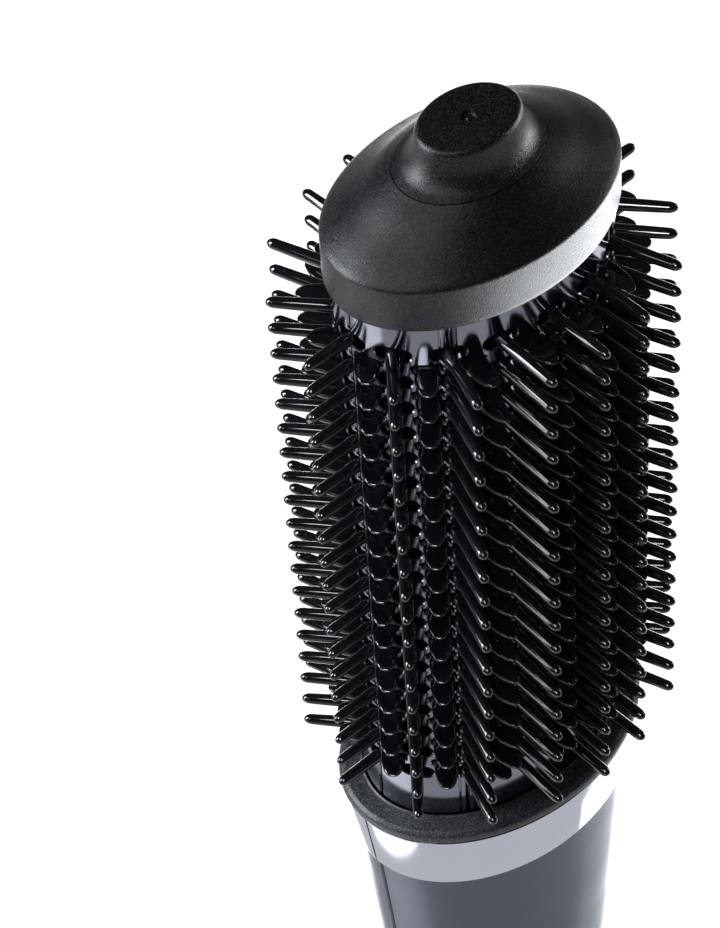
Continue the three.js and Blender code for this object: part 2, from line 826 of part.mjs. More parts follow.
addPart("fan_wheel", fanWheel(), HIDDEN_PLASTIC);
addPart("motor_shaft", motorShaft(), STEEL);
addPart("motor_rotor", motorRotor(), STEEL);
addPart("motor_can", motorCan(), STEEL);
addPart("motor_plate", motorPlate(), HIDDEN_PLASTIC);
addPart("motor_mount", motorMount(), HIDDEN_PLASTIC);

addPart("tail_frame", tailFrame(), HIDDEN_PLASTIC);
addPart("filter_cover", filterCover(), CAP_PLASTIC);
addPart("inlet_screen", inletScreen(), STEEL);
addPart("cord_gland", cordGland(), BLACK_PLASTIC);
addPart("gland_clip", glandClip(), STEEL);

export default object;
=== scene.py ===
"""Hot air brush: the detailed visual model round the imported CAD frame."""

import math

import bmesh
import bpy
import numpy as np
from mathutils import Matrix, Vector


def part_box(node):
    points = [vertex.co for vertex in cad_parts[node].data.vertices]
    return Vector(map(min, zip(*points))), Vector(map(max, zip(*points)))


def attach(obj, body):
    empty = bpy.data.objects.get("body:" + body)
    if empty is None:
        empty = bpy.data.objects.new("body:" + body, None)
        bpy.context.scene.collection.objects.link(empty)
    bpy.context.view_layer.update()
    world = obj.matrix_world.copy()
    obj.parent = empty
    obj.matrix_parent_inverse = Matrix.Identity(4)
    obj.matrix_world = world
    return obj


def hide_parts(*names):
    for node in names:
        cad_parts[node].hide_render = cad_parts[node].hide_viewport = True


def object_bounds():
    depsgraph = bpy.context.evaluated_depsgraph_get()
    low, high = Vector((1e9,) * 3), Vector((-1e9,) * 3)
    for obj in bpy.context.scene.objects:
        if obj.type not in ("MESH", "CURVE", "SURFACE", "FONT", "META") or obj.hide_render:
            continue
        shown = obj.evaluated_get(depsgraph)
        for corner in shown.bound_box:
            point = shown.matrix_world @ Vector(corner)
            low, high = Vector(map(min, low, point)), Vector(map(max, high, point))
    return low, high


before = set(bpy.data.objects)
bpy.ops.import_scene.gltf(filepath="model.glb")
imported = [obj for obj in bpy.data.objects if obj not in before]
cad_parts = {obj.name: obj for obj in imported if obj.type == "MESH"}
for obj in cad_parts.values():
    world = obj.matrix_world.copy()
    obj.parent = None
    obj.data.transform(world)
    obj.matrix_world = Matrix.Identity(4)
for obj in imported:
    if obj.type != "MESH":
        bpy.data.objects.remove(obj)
cad_low, cad_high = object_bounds()

MM = 0.001
UP = np.array([0, 0, 1])


def mm_box(node):
    """The lowest and highest corner of a CAD node, in millimetres."""
    low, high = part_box(node)
    return np.array(low) / MM, np.array(high) / MM


def mid_height(node):
    low, high = mm_box(node)
    return (low[2] + high[2]) / 2


# ---- sizes in millimetres: the frame's own places first ----
panel_low, panel_high = mm_box("head_panel_front")
HEAD_A = mm_box("head_panel_right_front")[1][0]
HEAD_B = -panel_low[1]
HEAD_BOTTOM, HEAD_TOP = panel_low[2], panel_high[2]
cap_high = mm_box("end_cap")[1]
tip_high = mm_box("cap_tip")[1]
collar_low, collar_high = mm_box("collar")
band_low, band_high = mm_box("trim_band")
shell_high = mm_box("shell_front")[1]
cover_low, cover_high = mm_box("filter_cover")

MIDDLE_ROW = 68.9
HEAD_MID = HEAD_BOTTOM + MIDDLE_ROW
PITCH = 6.0
PIN_ROWS = 19

# One quarter of the oval, from the X axis to the Y axis: where the columns stand, in degrees
# round it, and the direction they point in, in degrees from the X axis.
PIN_ANGLES = [0, 24.3, 48.1, 68.9, 90]
PIN_DIRECTIONS = [0, 49.5, 70.5, 87.5, 90]
PIN_LENGTHS = [9.4, 10.4, 12.6, 13.1, 13.3]
FIN_ANGLES = [11, 39.2, 56.9, 79.6]
FIN_DIRECTIONS = [47.5, 49.5, 87, 89.3]
FIN_LENGTHS = [5.1, 5.9, 9.4, 10.3]
END_FIN_LENGTHS = [5.1, 5.9, 6.5, 6.7]

# Where one panel of the skin ends and the next begins, in degrees round the oval.
JOINT = PIN_ANGLES[2]
JOINTS = [0, JOINT, 180 - JOINT, 180, 180 + JOINT, 360 - JOINT, 360]
PANELS = ["right_rear", "rear", "left_rear", "left_front", "front", "right_front"]

# ---- camera: first, so that everything after it can be judged from it ----
CAMERA_AZIMUTH = -38.3
CAMERA_ELEVATION = 48.95
CAMERA_ROLL = -4.2
CAMERA_DISTANCE = 677.0
CAMERA_TARGET = [-18.6, 12.2, HEAD_MID]
CAMERA_LENS = 154.6
CAMERA_SHIFT = (0.0085, 0.0332)
CAMERA_NEAR = 10


def make_camera():
    azimuth, elevation = math.radians(CAMERA_AZIMUTH), math.radians(CAMERA_ELEVATION)
    level = math.cos(elevation)
    back = Vector((math.sin(azimuth) * level, -math.cos(azimuth) * level, math.sin(elevation)))
    camera = bpy.data.objects.new("camera", bpy.data.cameras.new("camera"))
    camera.data.lens = CAMERA_LENS
    camera.data.shift_x, camera.data.shift_y = CAMERA_SHIFT
    camera.data.clip_start = CAMERA_NEAR * MM
    camera.location = Vector(CAMERA_TARGET) * MM + back * CAMERA_DISTANCE * MM
    turn = back.to_track_quat("Z", "Y").to_matrix()
    roll = Matrix.Rotation(math.radians(CAMERA_ROLL), 3, back)
    camera.rotation_euler = (roll @ turn).to_euler()
    bpy.context.scene.collection.objects.link(camera)
    bpy.context.scene.camera = camera


make_camera()

# ---- materials: noises are in cells per metre and bumps in millimetres ----
MOTTLE = 60
FLAKE_MOTTLE = 90
FLAKE_DETAIL = 1.0
FLAKE_SPREAD = (0.55, 0.15)
FLAKE_BUMP = 0.003
FINE_DETAIL = 2.0
SPECKLE_SPREAD = (0.6, 0.07)
COAT_ROUGHNESS = 0.1

# The sockets of a Mix node that mixes colours.
MIX_SHARE, MIX_DARK, MIX_LIGHT, MIX_RESULT = 0, 6, 7, 2


def new_material(name):
    material = bpy.data.materials.new(name)
    material.use_nodes = True
    tree = material.node_tree
    return material, tree.nodes, tree.links, tree.nodes["Principled BSDF"]


def object_noise(nodes, links, cells, detail=3.0):
    """A noise that keeps to the object's own metres."""
    place = nodes.new("ShaderNodeTexCoord")
    noise = nodes.new("ShaderNodeTexNoise")
    noise.inputs["Scale"].default_value = cells
    noise.inputs["Detail"].default_value = detail
    links.new(place.outputs["Object"], noise.inputs["Vector"])
    return noise.outputs["Fac"]


def spread(nodes, links, source, low, high, centre=0.5, width=0.2):
    """Maps a noise's middle stretch to values from low to high."""
    part = nodes.new("ShaderNodeMapRange")
    part.inputs["From Min"].default_value = centre - width
    part.inputs["From Max"].default_value = centre + width
    part.inputs["To Min"].default_value = low
    part.inputs["To Max"].default_value = high
    links.new(source, part.inputs["Value"])
    return part.outputs["Result"]


def tint(nodes, links, source, dark, light):
    """A colour from dark to light as the source goes from 0 to 1."""
    mix = nodes.new("ShaderNodeMix")
    mix.data_type = "RGBA"
    mix.inputs[MIX_DARK].default_value = (*dark, 1)
    mix.inputs[MIX_LIGHT].default_value = (*light, 1)
    links.new(source, mix.inputs[MIX_SHARE])
    return mix.outputs[MIX_RESULT]


def add_bump(nodes, links, shader, source, height):
    bump = nodes.new("ShaderNodeBump")
    bump.inputs["Distance"].default_value = height * MM
    bump.inputs["Strength"].default_value = 1.0
    links.new(source, bump.inputs["Height"])
    links.new(bump.outputs["Normal"], shader.inputs["Normal"])


def make_look(name, dark, light, roughness, grain, metallic=0.0, mottle=MOTTLE, specular=0.5):
    """A moulded, plated or drawn surface: mottle is a broad variation in tone and roughness, and
    grain is the cells and the bump of a fine texture."""
    material, nodes, links, shader = new_material(name)
    broad = object_noise(nodes, links, mottle)
    tone = tint(nodes, links, spread(nodes, links, broad, 0, 1), dark, light)
    links.new(tone, shader.inputs["Base Color"])
    links.new(spread(nodes, links, broad, *roughness), shader.inputs["Roughness"])
    shader.inputs["Metallic"].default_value = metallic
    shader.inputs["Specular IOR Level"].default_value = specular
    cells, bump = grain
    add_bump(nodes, links, shader, object_noise(nodes, links, cells, FINE_DETAIL), bump)
    return material


def make_flake_look(name, dark, light, roughness, metallic, flakes, coat):
    """A metallic coating: fine flakes vary the tone, under a thin clear coat."""
    material, nodes, links, shader = new_material(name)
    fine = object_noise(nodes, links, flakes, FLAKE_DETAIL)
    broad = object_noise(nodes, links, FLAKE_MOTTLE)
    tone = tint(nodes, links, spread(nodes, links, fine, 0, 1, *FLAKE_SPREAD), dark, light)
    links.new(tone, shader.inputs["Base Color"])
    links.new(spread(nodes, links, broad, *roughness), shader.inputs["Roughness"])
    shader.inputs["Metallic"].default_value = metallic
    shader.inputs["Coat Weight"].default_value = coat
    shader.inputs["Coat Roughness"].default_value = COAT_ROUGHNESS
    add_bump(nodes, links, shader, fine, FLAKE_BUMP)
    return material


def make_speckle_look(name, dark, light, roughness, cells, bump):
    """A spark-eroded plastic: one fine noise drives the tone, the gloss and the bumps."""
    material, nodes, links, shader = new_material(name)
    fine = object_noise(nodes, links, cells, FINE_DETAIL)
    share = spread(nodes, links, fine, 0, 1, *SPECKLE_SPREAD)
    links.new(tint(nodes, links, share, dark, light), shader.inputs["Base Color"])
    links.new(spread(nodes, links, fine, *roughness), shader.inputs["Roughness"])
    add_bump(nodes, links, shader, fine, bump)
    return material


LOOKS = {
    "bristle": make_look(
        "glossy_nylon", dark=(0.0018, 0.0019, 0.0026), light=(0.0035, 0.0037, 0.0055),
        roughness=(0.05, 0.1), grain=(900, 0.002), specular=0.8,
    ),
    "skin": make_flake_look(
        "metallic_coating", dark=(0.22, 0.228, 0.275), light=(0.31, 0.32, 0.375),
        roughness=(0.08, 0.13), metallic=1.0, flakes=9000, coat=0.2,
    ),
    "cap": make_speckle_look(
        "textured_black", dark=(0.001, 0.0011, 0.0015), light=(0.055, 0.059, 0.07),
        roughness=(0.25, 0.4), cells=4800, bump=0.08,
    ),
    "collar": make_speckle_look(
        "textured_grey", dark=(0.026, 0.028, 0.033), light=(0.17, 0.176, 0.2),
        roughness=(0.26, 0.42), cells=4200, bump=0.08,
    ),
    "band": make_look(
        "polished_band", dark=(0.65, 0.67, 0.75), light=(0.7, 0.72, 0.8),
        roughness=(0.06, 0.12), grain=(2500, 0.0006), metallic=1.0, mottle=40,
    ),
    "shell": make_flake_look(
        "satin_gunmetal", dark=(0.095, 0.105, 0.14), light=(0.13, 0.142, 0.185),
        roughness=(0.3, 0.38), metallic=0.8, flakes=12000, coat=0.1,
    ),
    "button": make_look(
        "button_black", dark=(0.01, 0.01, 0.012), light=(0.016, 0.016, 0.019),
        roughness=(0.3, 0.4), grain=(3500, 0.012),
    ),
    "inner": make_look(
        "inner_plastic", dark=(0.02, 0.02, 0.022), light=(0.035, 0.035, 0.04),
        roughness=(0.5, 0.62), grain=(1500, 0.02),
    ),
    "steel": make_look(
        "plated_steel", dark=(0.42, 0.43, 0.45), light=(0.58, 0.59, 0.61),
        roughness=(0.22, 0.34), grain=(2500, 0.002), metallic=1.0,
    ),
    "mica": make_look(
        "mica_board", dark=(0.03, 0.026, 0.022), light=(0.075, 0.065, 0.05),
        roughness=(0.35, 0.55), grain=(700, 0.05), mottle=140,
    ),
    "wire": make_look(
        "heater_wire", dark=(0.12, 0.1, 0.09), light=(0.2, 0.17, 0.15),
        roughness=(0.35, 0.5), grain=(3000, 0.006), metallic=1.0,
    ),
    "board": make_look(
        "board_green", dark=(0.015, 0.09, 0.04), light=(0.03, 0.15, 0.07),
        roughness=(0.3, 0.45), grain=(1200, 0.01), mottle=300,
    ),
    "lens": make_look(
        "frosted_lens", dark=(0.75, 0.8, 0.85), light=(0.85, 0.89, 0.93),
        roughness=(0.2, 0.3), grain=(3000, 0.004),
    ),
    "rubber": make_look(
        "gland_rubber", dark=(0.012, 0.012, 0.012), light=(0.02, 0.02, 0.02),
        roughness=(0.55, 0.7), grain=(2500, 0.03),
    ),
    "screen": make_look(
        "screen_wire", dark=(0.2, 0.2, 0.21), light=(0.4, 0.4, 0.42),
        roughness=(0.3, 0.45), grain=(2500, 0.02), metallic=1.0,
    ),
}

# ---- mesh tools: every point is in millimetres until it becomes a mesh ----
SHARP_ANGLE = 35
CORNER_SHARE = 0.45
OVAL_SIDES = 160


class Shape:
    """Points and faces that grow piece by piece."""

    def __init__(self):
        self.points = []
        self.faces = []
        self.count = 0

    def add(self, points, faces):
        self.points.append(np.asarray(points, float).reshape(-1, 3))
        self.faces += [[i + self.count for i in face] for face in faces]
        self.count += len(self.points[-1])

    def loft(self, rings, closed=False):
        """A tube of quads through rings of equal length, capped, or joined into a loop."""
        rings = [np.asarray(ring, float) for ring in rings]
        n = len(rings[0])
        faces = []
        for i in range(len(rings) if closed else len(rings) - 1):
            low, high = i * n, ((i + 1) % len(rings)) * n
            for j in range(n):
                k = (j + 1) % n
                faces.append([low + j, low + k, high + k, high + j])
        if not closed:
            faces.append(list(range(n - 1, -1, -1)))
            faces.append(list(range((len(rings) - 1) * n, len(rings) * n)))
        self.add(np.concatenate(rings), faces)

    def mesh(self, name):
        mesh = bpy.data.meshes.new(name)
        points = np.concatenate(self.points) * MM
        mesh.from_pydata(points.tolist(), [], self.faces)
        mesh.validate()
        tidy = bmesh.new()
        tidy.from_mesh(mesh)
        bmesh.ops.recalc_face_normals(tidy, faces=tidy.faces)
        tidy.to_mesh(mesh)
        tidy.free()
        return mesh


def finish_mesh(mesh, material, sharp_angle):
    """One material all over, and smooth shading between its sharp edges."""
    mesh.materials.clear()
    mesh.materials.append(material)
    mesh.shade_smooth()
    mesh.set_sharp_from_angle(angle=math.radians(sharp_angle))


def new_piece(node, shape, look, sharp_angle=SHARP_ANGLE):
    """The fine piece for a CAD node."""
    mesh = shape.mesh(node)
    piece = bpy.data.objects.new(node + "_fine", mesh)
    bpy.context.scene.collection.objects.link(piece)
    finish_mesh(mesh, LOOKS[look], sharp_angle)
    return piece


def place(piece, body, slot, node):
    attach(piece, body)
    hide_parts(node)


def cut(piece, cutter_shape, sharp_angle):
    """Takes a closed shape, which may be many separate bodies, out of a piece."""
    material = piece.data.materials[0]
    cutter = bpy.data.objects.new("cutter", cutter_shape.mesh("cutter"))
    bpy.context.scene.collection.objects.link(cutter)
    cutter.data.materials.append(material)
    difference = piece.modifiers.new("cut", "BOOLEAN")
    difference.operation = "DIFFERENCE"
    difference.solver = "MANIFOLD"
    difference.object = cutter
    graph = bpy.context.evaluated_depsgraph_get()
    made = bpy.data.meshes.new_from_object(piece.evaluated_get(graph), depsgraph=graph)
    piece.modifiers.clear()
    bpy.data.objects.remove(cutter)
    made.name = piece.data.name
    piece.data = made
    finish_mesh(made, material, sharp_angle)


def soften(points, radius, steps=5):
    """Rounds the inner corners of an open line of points in any number of dimensions."""
    points = [np.asarray(p, float) for p in points]
    made = [points[0]]
    for before, corner, after in zip(points, points[1:], points[2:]):
        into, out = before - corner, after - corner
        into_length, out_length = np.linalg.norm(into), np.linalg.norm(out)
        reach = min(radius, CORNER_SHARE * into_length, CORNER_SHARE * out_length)
        start = corner + into / into_length * reach
        end = corner + out / out_length * reach
        for t in np.linspace(0, 1, steps):
            made.append((1 - t) ** 2 * start + 2 * t * (1 - t) * corner + t * t * end)
    return made + [points[-1]]


def curve_through(points, steps):
    """A smooth open line through points (Catmull-Rom)."""
    points = [np.asarray(p, float) for p in points]
    padded = [2 * points[0] - points[1], *points, 2 * points[-1] - points[-2]]
    made = []
    for a, b, c, d in zip(padded, padded[1:], padded[2:], padded[3:]):
        for t in np.arange(steps) / steps:
            square = (2 * a - 5 * b + 4 * c - d) * t * t
            cube = (3 * b - a - 3 * c + d) * t**3
            made.append(0.5 * (2 * b + (c - a) * t + square + cube))
    return made + [points[-1]]


def full_turn(sides):
    return np.arange(sides) * 2 * math.pi / sides


def oval_rings(profile, sides=OVAL_SIDES):
    """A level oval for each (half width, half depth, height) of a profile."""
    t = full_turn(sides)
    return [
        np.stack([a * np.cos(t), b * np.sin(t), np.full(sides, float(z))], axis=-1)
        for a, b, z in profile
    ]


def round_rings(profile, sides):
    """A level circle for each (radius, height) of a profile."""
    return oval_rings([(radius, radius, z) for radius, z in profile], sides)


def turn_forward(shape, profile, sides, x, z):
    """Turns (radius, distance in front of the XZ plane) points round a line along Y."""
    t = full_turn(sides)
    rings = []
    for radius, front in profile:
        u, v = radius * np.cos(t), radius * np.sin(t)
        rings.append(np.stack([u + x, np.full(sides, -float(front)), v + z], axis=-1))
    shape.loft(rings)


def outward(angle):
    """The level direction at an angle from the X axis, and the one to its left."""
    out = np.array([math.cos(angle), math.sin(angle), 0])
    return out, np.array([-out[1], out[0], 0])


# ---- the oval of the head, by distance along its surface ----
OVAL_TURN = np.linspace(0, 2 * math.pi, 7201)
OVAL_RATE = np.hypot(HEAD_A * np.sin(OVAL_TURN), HEAD_B * np.cos(OVAL_TURN))
OVAL_STEPS = (OVAL_RATE[1:] + OVAL_RATE[:-1]) / 2 * np.diff(OVAL_TURN)
OVAL_ALONG = np.concatenate([[0], np.cumsum(OVAL_STEPS)])
PERIMETER = OVAL_ALONG[-1]


def arc_at(degrees):
    """Distance along the oval from the +X end to a place given in degrees round it."""
    turns, rest = divmod(degrees, 360)
    return turns * PERIMETER + np.interp(math.radians(rest), OVAL_TURN, OVAL_ALONG)


def on_head(u, z, height):
    """Points at distances u along the oval, at z, standing off the skin by height."""
    u, z, height = np.broadcast_arrays(*(np.asarray(v, float) for v in (u, z, height)))
    t = np.interp(u % PERIMETER, OVAL_ALONG, OVAL_TURN)
    point = np.stack([HEAD_A * np.cos(t), HEAD_B * np.sin(t), z], axis=-1)
    normal = np.stack([np.cos(t) / HEAD_A, np.sin(t) / HEAD_B, np.zeros_like(t)], axis=-1)
    normal /= np.linalg.norm(normal, axis=-1, keepdims=True)
    return point + normal * height[..., None]


def all_round(angles, directions, *lengths):
    """Columns of a quarter, mirrored to all four, from the -X end through the front."""
    found = {}
    for angle, direction, *sizes in zip(angles, directions, *lengths):
        for sign, start in ((1, 180), (-1, 360), (1, 360), (-1, 540)):
            found[round(start + sign * angle, 3)] = (start + sign * direction, *sizes)
    return [(angle, *found[angle]) for angle in sorted(found) if angle < 540]


PIN_COLUMNS = all_round(PIN_ANGLES, PIN_DIRECTIONS, PIN_LENGTHS)
FIN_COLUMNS = all_round(FIN_ANGLES, FIN_DIRECTIONS, FIN_LENGTHS, END_FIN_LENGTHS)
PIN_Z = [HEAD_MID + PITCH * ((PIN_ROWS - 1) / 2 - i) for i in range(PIN_ROWS)]
FIN_Z = [z - PITCH / 2 for z in PIN_Z[:-1]]

# ---- pins and fins: heights are above the skin, and both start at ROOT, inside it ----
ROOT = -2.7
FOOT = -1.0
PIN_R = 1.13
PIN_FOOT_R = 1.25
PIN_ROOT_R = 1.3
PIN_TIP_R = 0.98
PIN_TIP_SHAPE = 1.5
PIN_TIP_TURNS = np.radians([15, 30, 44, 57, 69, 79, 86])
PIN_SIDES = 20
FIN_HALF_WIDTH = 2.2
FIN_HALF_THICK = 0.68
FIN_THINNING = 0.35
FIN_OUTLINE = 2.2
FIN_EDGE = 7
FIN_SECTION = 24
FIN_SQUARE = 0.42
FIN_SHARES = [0, *np.sin(np.radians([10, 22, 34, 45, 55, 64, 71, 77, 82, 86, 88.6]))]


def stand(angle, direction):
    """The foot of a bristle on the skin, the way it points, and the way across it."""
    return on_head(arc_at(angle), 0, 0), *outward(math.radians(direction))


def add_pin(shape, angle, direction, z, length):
    """A slender taper with a rounded end, longer than a half ball."""
    foot, out, across = stand(angle, direction)
    end = length - PIN_TIP_SHAPE * PIN_TIP_R
    profile = [(PIN_ROOT_R, ROOT), (PIN_FOOT_R, FOOT), (PIN_R + 0.03, 0), (PIN_R, 1)]
    profile += [(0.5 * (PIN_R + PIN_TIP_R), 0.55 * length), (PIN_TIP_R, end)]
    for a in PIN_TIP_TURNS:
        profile.append((PIN_TIP_R * math.cos(a), end + (length - end) * math.sin(a)))
    t = full_turn(PIN_SIDES)
    circle = np.cos(t)[:, None] * across + np.sin(t)[:, None] * UP
    shape.loft([foot + out * height + UP * z + radius * circle for radius, height in profile])


def add_fin(shape, angle, direction, z, length):
    """A thin tongue, flat across the brush, whose outline is half an oval."""
    foot, out, across = stand(angle, direction)
    t = full_turn(FIN_SECTION)
    u = np.sign(np.cos(t)) * np.abs(np.cos(t)) ** FIN_SQUARE
    v = np.sign(np.sin(t)) * np.abs(np.sin(t)) ** FIN_SQUARE
    rings = []
    for height in [ROOT, FOOT, *(length * share for share in FIN_SHARES)]:
        share = max(0.0, height / length)
        half = FIN_HALF_WIDTH * (1 - share**FIN_OUTLINE) ** (1 / FIN_OUTLINE)
        thick = FIN_HALF_THICK * (1 - FIN_THINNING * share) * (1 - share**FIN_EDGE) ** 0.5
        centre = foot + out * height + UP * z
        rings.append(centre + half * u[:, None] * across + min(thick, half) * v[:, None] * UP)
    shape.loft(rings)


# The rails of a strip, by distance along the oval from the middle of their column.
PIN_RAIL = (-1.2, 2.4)
FIN_RAIL = (-1.9, 1.6)
RAIL_TOP, RAIL_BOTTOM = -1.5, -2.9
RAIL_STEPS = 5
RAIL_PAST_LAST_ROW, RAIL_PAST_FIRST_ROW = 4, 2.3
WIDEST_SINGLE_RAIL = 4.6
BRIDGES = 7
BRIDGE_INSET = 2


def add_rail(shape, u_from, u_to, low, high):
    """A bar on the inside of the skin that pins or fins stand on."""
    u = np.linspace(u_from, u_to, RAIL_STEPS)
    section = np.concatenate([on_head(u, 0, RAIL_TOP), on_head(u[::-1], 0, RAIL_BOTTOM)])
    shape.loft([section + UP * low, section + UP * high])


def strip_name(i):
    return f"bristle_strip_{i + 1:02d}"


def make_strip(i):
    """One column of pins and the column of fins after it, on one rail or on two joined ones."""
    shape = Shape()
    pin_angle, pin_direction, pin_length = PIN_COLUMNS[i]
    fin_angle, fin_direction, fin_length, end_length = FIN_COLUMNS[i]
    for z in PIN_Z:
        add_pin(shape, pin_angle, pin_direction, z, pin_length)
    for row, z in enumerate(FIN_Z):
        is_end = row in (0, len(FIN_Z) - 1)
        add_fin(shape, fin_angle, fin_direction, z, end_length if is_end else fin_length)
    low, high = PIN_Z[-1] - RAIL_PAST_LAST_ROW, PIN_Z[0] + RAIL_PAST_FIRST_ROW
    pin_u, fin_u = arc_at(pin_angle), arc_at(fin_angle)
    if fin_u - pin_u > WIDEST_SINGLE_RAIL:
        add_rail(shape, pin_u + PIN_RAIL[0], pin_u + PIN_RAIL[1], low, high)
        add_rail(shape, fin_u + FIN_RAIL[0], fin_u + FIN_RAIL[1], low, high)
        for z in np.linspace(low + BRIDGE_INSET, high - BRIDGE_INSET, BRIDGES):
            add_rail(shape, pin_u + PIN_RAIL[1], fin_u + FIN_RAIL[0], z - 1, z + 1)
    else:
        add_rail(shape, pin_u + PIN_RAIL[0], fin_u + FIN_RAIL[1], low, high)
    name = strip_name(i)
    place(new_piece(name, shape, "bristle"), "handle", "bristle_plastic", name)


# ---- the coated skin with its slots, which are given as (half width, half height) ----
SKIN_WALL = 1.2
SKIN_STEP = 0.5
SKIN_BEVEL = 0.25
SEAM_HALF = 0.19
FOLD_OFFSETS = (-1.3, 1.3)
GROOVE_HALF = 0.13
GROOVE_LIP = 0.12
GROOVE_DEPTH = 0.55
GROOVE_CLEAR = 0.45
GROOVE_FROM_EDGE = 0.4
PIN_SLOT = (3.1, 1.5)
FIN_SLOT = (2.7, 0.95)
SLOT_BEVEL = 0.22
SLOT_RINGS = ((-2.2, 0), (-SLOT_BEVEL, 0), (0.02, SLOT_BEVEL), (0.8, SLOT_BEVEL))
SLOT_REACH = 4
SKIN_SHARP_ANGLE = 40


def add_slot(shape, u, z, half_width, half_height):
    """A cutter for a round-ended slot with a bevelled mouth, bent with the skin."""
    flat = half_width - half_height
    turn = np.linspace(-math.pi / 2, math.pi / 2, 9)
    x = np.concatenate([flat + half_height * np.cos(turn), -flat - half_height * np.cos(turn)])
    y = np.concatenate([half_height * np.sin(turn), -half_height * np.sin(turn)])
    out = np.stack([x, y], axis=-1)
    centre = np.stack([np.clip(x, -flat, flat), np.zeros_like(y)], axis=-1)
    away = (out - centre) / half_height
    rings = []
    for height, grow in SLOT_RINGS:
        ring = out + away * grow
        rings.append(on_head(u + ring[:, 0], z + ring[:, 1], height))
    shape.loft(rings)


def skin_line(u_from, u_to, grooves):
    """(u, height) points of the outside of a panel, with a narrow groove at each given place."""
    first, last = u_from + SKIN_BEVEL, u_to - SKIN_BEVEL
    stops = [(u_from, -SKIN_BEVEL), (first, 0), (last, 0), (u_to, -SKIN_BEVEL)]
    for u in np.arange(first + SKIN_STEP, last - SKIN_STEP / 2, SKIN_STEP):
        if all(abs(u - groove) >= GROOVE_CLEAR for groove in grooves):
            stops.append((u, 0))
    for groove in grooves:
        if u_from + GROOVE_FROM_EDGE < groove < u_to - GROOVE_FROM_EDGE:
            for side in (-1, 1):
                edge = groove + side * GROOVE_HALF
                stops.append((edge + side * GROOVE_LIP, 0))
                stops.append((edge, -GROOVE_LIP))
                stops.append((groove + side * GROOVE_HALF * 0.8, -GROOVE_DEPTH))
    return sorted(stops)


def skin_slots(u_from, u_to):
    """The cutters of every slot that touches a panel."""
    slots = Shape()
    for (pin_angle, *_), (fin_angle, *_) in zip(PIN_COLUMNS, FIN_COLUMNS):
        for angle, rows, size in ((pin_angle, PIN_Z, PIN_SLOT), (fin_angle, FIN_Z, FIN_SLOT)):
            for middle in (arc_at(angle), arc_at(angle) - PERIMETER):
                if u_from - SLOT_REACH < middle < u_to + SLOT_REACH:
                    for z in rows:
                        add_slot(slots, middle, z, *size)
    return slots


def make_skin(name, start, end):
    u_from, u_to = arc_at(start) + SEAM_HALF, arc_at(end) - SEAM_HALF
    folds = [arc_at(j) + offset for j in JOINTS if j % 180 for offset in FOLD_OFFSETS]
    u, height = np.array(skin_line(u_from, u_to, folds)).T
    section = np.concatenate([on_head(u, 0, height), on_head(u[::-1], 0, -SKIN_WALL)])
    shape = Shape()
    shape.loft([section + UP * z for z in (HEAD_BOTTOM, HEAD_TOP)])
    piece = new_piece(name, shape, "skin", SKIN_SHARP_ANGLE)
    cut(piece, skin_slots(u_from, u_to), SKIN_SHARP_ANGLE)
    place(piece, "handle", "head_coating", name)


# ---- cap, tip, collar, band: profiles are (half width, half depth, height) ----
CAP_SHARP_ANGLE = 50
COLLAR_SHARP_ANGLE = 40
BAND_SHARP_ANGLE = 40
BAND_SEAM = 0.22


def make_cap():
    a, b = cap_high[0], cap_high[1]
    low, high = HEAD_TOP + 0.3, cap_high[2]
    seat_a, seat_b = tip_high[0] + 0.12, tip_high[1] + 0.12
    crease = (a - 0.8, b - 0.7, low + 9.35)
    wall = [
        (a - 1.4, b - 1.4, low),
        (a - 0.15, b - 0.15, low),
        (a, b, low + 0.8),
        (a, b, low + 8.6),
        crease,
    ]
    dome = [
        crease,
        (a - 3.2, b - 2.6, low + 10.9),
        (a - 6.6, b - 4.7, low + 12.8),
        (a - 10.2, b - 6.7, low + 14.9),
        (seat_a, seat_b, high),
    ]
    inside = [
        (seat_a, seat_b, high - 2.6),
        (5, 5, high - 2.6),
        (5, 5, high - 4.6),
        (14, 9.4, high - 4.6),
        (a - 4.6, b - 4.6, low + 6.5),
        (a - 4.6, b - 4.6, low - 3),
        (a - 2.6, b - 2.6, low - 3),
        (a - 2.6, b - 2.6, low),
    ]
    shape = Shape()
    outside = soften(wall, 0.45) + curve_through(dome, 6)[1:]
    shape.loft(oval_rings(outside + inside), closed=True)
    piece = new_piece("end_cap", shape, "cap", CAP_SHARP_ANGLE)
    place(piece, "handle", "textured_plastic", "end_cap")


def make_tip():
    a, b, top = tip_high
    foot = top - 7.1
    neck = curve_through(
        [
            (a, b, foot),
            (a - 1.7, b - 1.25, foot + 0.85),
            (a - 3.1, b - 2.3, foot + 2.3),
            (a - 3.95, b - 2.85, foot + 4.3),
            (a - 4.3, b - 3.1, foot + 6.1),
        ],
        6,
    )
    # The round of the top edge takes the place of the neck's last stretch.
    edge = soften([neck[-8], (a - 4.3, b - 3.1, top), (a - 8.2, b - 6.3, top)], 2.5, 13)
    bottom = [(4.4, 4.4, foot - 5.6), (4.4, 4.4, foot - 2.6), (a - 0.3, b - 0.3, foot - 2.6)]
    middle = [(4, 3.4, top), (1.5, 1.5, top)]
    dimple = soften([(1.3, 1.3, top), (1.15, 1.15, top - 0.5), (0.55, 0.55, top - 0.55)], 0.15)
    nub = [(0.5, 0.5, top - 0.45), (0.42, 0.42, top - 0.3), (0.2, 0.2, top - 0.22)]
    nub += [(0.03, 0.03, top - 0.2)]
    shape = Shape()
    shape.loft(oval_rings(bottom + neck[:-7] + edge[1:] + middle + dimple + nub))
    piece = new_piece("cap_tip", shape, "cap", CAP_SHARP_ANGLE)
    place(piece, "handle", "textured_plastic", "cap_tip")


